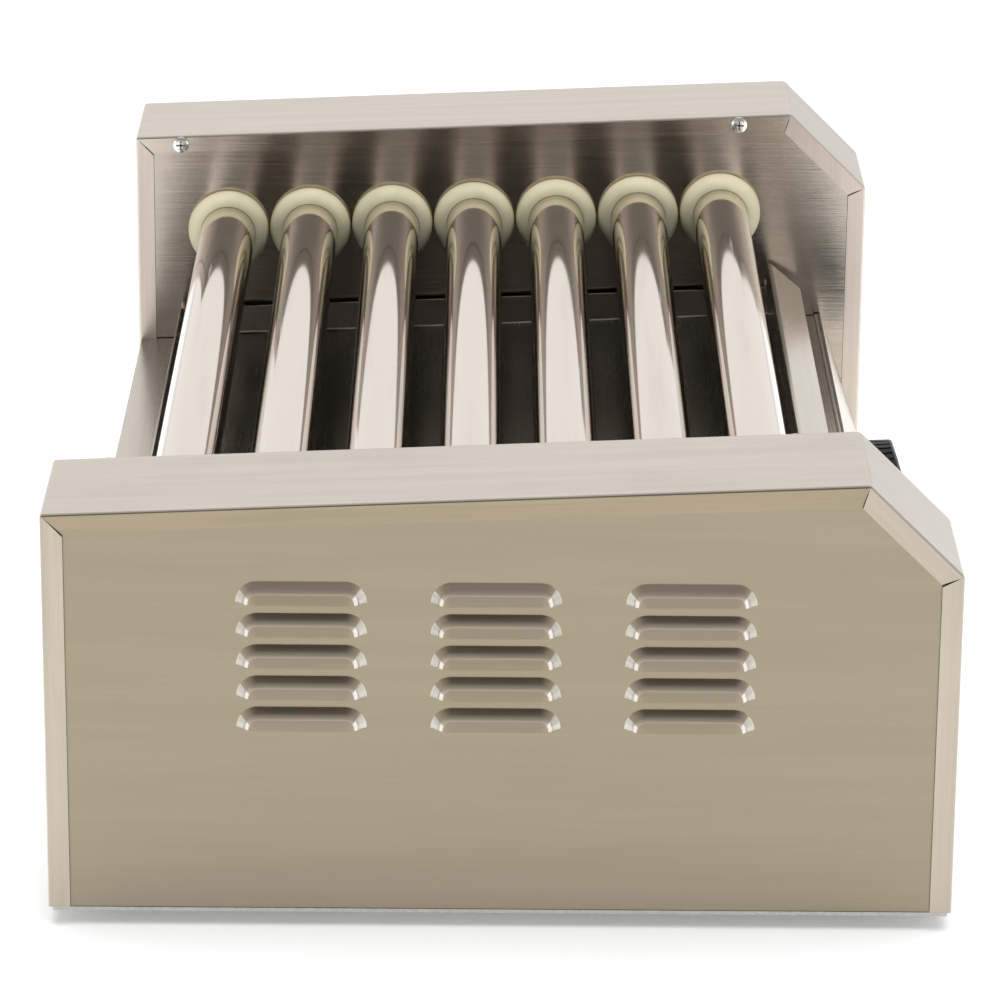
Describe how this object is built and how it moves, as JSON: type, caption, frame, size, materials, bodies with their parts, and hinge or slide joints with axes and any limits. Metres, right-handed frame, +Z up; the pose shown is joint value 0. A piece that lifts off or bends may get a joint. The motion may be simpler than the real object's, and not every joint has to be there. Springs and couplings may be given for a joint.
{
  "type": "hot dog roller grill",
  "caption": "Counter-top roller grill: chain-driven heated rollers between two louvred end housings, over a slide-out drip tray, with a sloped control panel.",
  "frame": {"origin": "under the middle of the grill, at the undersides of the feet", "axes": "+X along the rollers to the right-hand end, -Y to the operator's side with the control panel, +Z up"},
  "size_m": [0.5868, 0.3635, 0.1783],
  "materials": {
    "brushed_stainless": "brushed, horizontal grain",
    "bright_stainless": "fine brushed, vertical grain",
    "galvanised": "dull zinc",
    "roller_chrome": "polished",
    "cream_bush": "waxy, cream",
    "drive_steel": "oiled",
    "heater_sheath": "heat tinted",
    "ceramic": "glazed",
    "dark_plastic": "moulded",
    "knob_black": "ribbed, satin",
    "lamp_red": "translucent lens",
    "cast_grey": "die cast",
    "foot_rubber": "moulded",
    "screw_zinc": "zinc plated"
  },
  "bodies": {
    "chassis": {"base_pan": "galvanised", "left_end_band": "brushed_stainless", "right_end_band": "brushed_stainless", "left_louvre_panel": "brushed_stainless", "right_louvre_panel": "brushed_stainless", "left_bulkhead": "bright_stainless", "right_bulkhead": "bright_stainless", "left_bushes": "cream_bush", "right_bushes": "cream_bush", "deck": "brushed_stainless", "rear_panel": "brushed_stainless", "control_panel": "brushed_stainless", "left_heater_bracket": "galvanised", "right_heater_bracket": "galvanised", "left_terminals": "ceramic", "right_terminals": "ceramic", "left_thermostat": "dark_plastic", "right_thermostat": "dark_plastic", "left_lamp": "lamp_red", "right_lamp": "lamp_red", "switch_housing": "dark_plastic", "chain": "drive_steel", "gearbox": "cast_grey", "motor_can": "cast_grey", "cable_gland": "dark_plastic", "terminal_block": "ceramic", "feet": "foot_rubber", "base_screws": "screw_zinc", "flange_screws": "screw_zinc", "heater_1": "heater_sheath", "heater_2": "heater_sheath", "heater_3": "heater_sheath", "heater_4": "heater_sheath", "heater_5": "heater_sheath", "heater_6": "heater_sheath", "heater_7": "heater_sheath"},
    "roller_1_body": {"roller_1": "roller_chrome", "sprocket_1": "drive_steel"},
    "roller_2_body": {"roller_2": "roller_chrome", "sprocket_2": "drive_steel"},
    "roller_3_body": {"roller_3": "roller_chrome", "sprocket_3": "drive_steel"},
    "roller_4_body": {"roller_4": "roller_chrome", "sprocket_4": "drive_steel"},
    "roller_5_body": {"roller_5": "roller_chrome", "sprocket_5": "drive_steel"},
    "roller_6_body": {"roller_6": "roller_chrome", "sprocket_6": "drive_steel"},
    "roller_7_body": {"roller_7": "roller_chrome", "sprocket_7": "drive_steel"},
    "drive": {"motor_shaft": "drive_steel", "drive_sprocket": "drive_steel"},
    "tray": {"drip_tray": "bright_stainless"},
    "left_control": {"left_knob": "knob_black", "left_thermostat_shaft": "drive_steel"},
    "right_control": {"right_knob": "knob_black", "right_thermostat_shaft": "drive_steel"},
    "rocker": {"switch_rocker": "knob_black"}
  },
  "joints": [
    {"name": "roller_1_spin", "type": "hinge", "parent": "chassis", "child": "roller_1_body", "pos_m": [0, 0.12712, 0.12101], "axis": [1, 0, 0], "continuous": true},
    {"name": "roller_2_spin", "type": "hinge", "parent": "chassis", "child": "roller_2_body", "pos_m": [0, 0.08891, 0.12272], "axis": [1, 0, 0], "continuous": true},
    {"name": "roller_3_spin", "type": "hinge", "parent": "chassis", "child": "roller_3_body", "pos_m": [0, 0.0507, 0.12443], "axis": [1, 0, 0], "continuous": true},
    {"name": "roller_4_spin", "type": "hinge", "parent": "chassis", "child": "roller_4_body", "pos_m": [0, 0.01249, 0.12614], "axis": [1, 0, 0], "continuous": true},
    {"name": "roller_5_spin", "type": "hinge", "parent": "chassis", "child": "roller_5_body", "pos_m": [0, -0.02572, 0.12785], "axis": [1, 0, 0], "continuous": true},
    {"name": "roller_6_spin", "type": "hinge", "parent": "chassis", "child": "roller_6_body", "pos_m": [0, -0.06394, 0.12955], "axis": [1, 0, 0], "continuous": true},
    {"name": "roller_7_spin", "type": "hinge", "parent": "chassis", "child": "roller_7_body", "pos_m": [0, -0.10215, 0.13126], "axis": [1, 0, 0], "continuous": true},
    {"name": "drive_spin", "type": "hinge", "parent": "chassis", "child": "drive", "pos_m": [0.245, 0.00874, 0.04222], "axis": [1, 0, 0], "continuous": true},
    {"name": "left_knob_turn", "type": "hinge", "parent": "chassis", "child": "left_control", "pos_m": [-0.072, -0.16042, 0.05092], "axis": [0, 0.9511, -0.309], "range_deg": [0, 270]},
    {"name": "right_knob_turn", "type": "hinge", "parent": "chassis", "child": "right_control", "pos_m": [0.072, -0.16042, 0.05092], "axis": [0, 0.9511, -0.309], "range_deg": [0, 270]},
    {"name": "rocker_tip", "type": "hinge", "parent": "chassis", "child": "rocker", "pos_m": [0, -0.15947, 0.05061], "axis": [1, 0, 0], "range_deg": [0, 16]},
    {"name": "tray_slide", "type": "slide", "parent": "chassis", "child": "tray", "axis": [0, -0.999, 0.0447], "range_m": [0, 0.28]}
  ],
  "couplings": [
    {"joint": "roller_2_spin", "follows": "roller_1_spin", "ratio": 1},
    {"joint": "roller_3_spin", "follows": "roller_1_spin", "ratio": 1},
    {"joint": "roller_4_spin", "follows": "roller_1_spin", "ratio": 1},
    {"joint": "roller_5_spin", "follows": "roller_1_spin", "ratio": 1},
    {"joint": "roller_6_spin", "follows": "roller_1_spin", "ratio": 1},
    {"joint": "roller_7_spin", "follows": "roller_1_spin", "ratio": 1},
    {"joint": "drive_spin", "follows": "roller_1_spin", "ratio": 1.2222}
  ]
}
